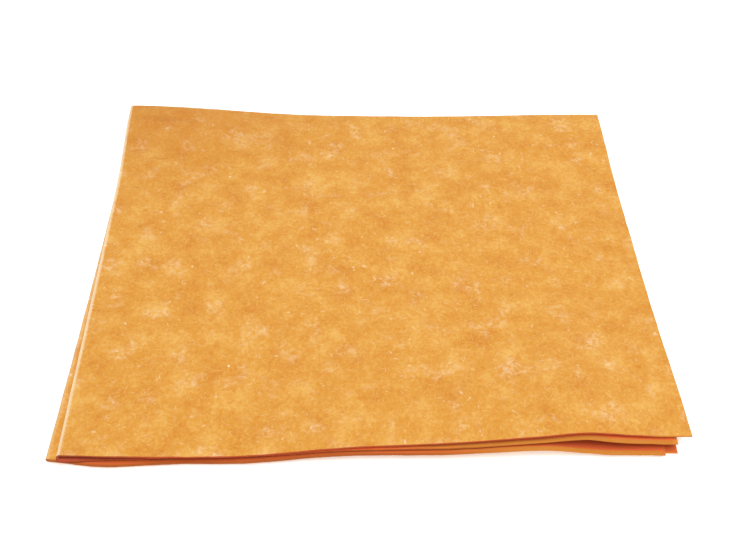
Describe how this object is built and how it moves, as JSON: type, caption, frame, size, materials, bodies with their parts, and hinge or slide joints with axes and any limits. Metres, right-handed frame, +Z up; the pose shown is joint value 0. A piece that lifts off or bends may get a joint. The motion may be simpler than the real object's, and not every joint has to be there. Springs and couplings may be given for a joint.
{
  "type": "nonwoven cleaning cloth",
  "caption": "Absorbent nonwoven floor cloth, one square-cut web of needled fibre with bare edges, folded twice into quarters on soft creases that open flat.",
  "frame": {"origin": "middle of the rectangle that the folded cloth covers, on the surface that it rests on", "axes": "+X to the right, away from the left folds, +Y to the back folds, +Z up through the stack of leaves"},
  "size_m": [0.3096, 0.2562, 0.0143],
  "materials": {
    "nonwoven": "dry needled viscose and polyester felt, matt, orange with pale fibre clumps",
    "nonwoven_crease": "the same felt pressed along a crease"
  },
  "bodies": {
    "upper_inner": {"upper_inner_leaf": "nonwoven", "upper_left_fold": "nonwoven_crease"},
    "upper_outer": {"upper_outer_leaf": "nonwoven", "upper_outer_back_fold": "nonwoven_crease"},
    "lower_inner": {"lower_inner_leaf": "nonwoven", "inner_back_fold": "nonwoven_crease", "lower_left_fold": "nonwoven_crease"},
    "lower_outer": {"lower_outer_leaf": "nonwoven", "lower_outer_back_fold": "nonwoven_crease"}
  },
  "joints": [
    {"name": "back_fold", "type": "hinge", "parent": "upper_inner", "child": "lower_inner", "pos_m": [0, 0.1283, 0.00285], "axis": [1, 0, 0], "range_deg": [0, 180], "deforming": ["inner_back_fold"]},
    {"name": "left_fold_upper", "type": "hinge", "parent": "upper_inner", "child": "upper_outer", "pos_m": [-0.15161, 0.12525, 0.0064], "axis": [0.0119, -0.9999, 0], "range_deg": [0, 180], "deforming": ["upper_left_fold"]},
    {"name": "left_fold_lower", "type": "hinge", "parent": "lower_inner", "child": "lower_outer", "pos_m": [-0.15167, 0.12525, -0.0007], "axis": [0.0119, 0.9999, 0], "range_deg": [0, 180], "deforming": ["lower_left_fold"]}
  ],
  "couplings": [
    {"joint": "left_fold_lower", "follows": "left_fold_upper", "ratio": 1}
  ]
}
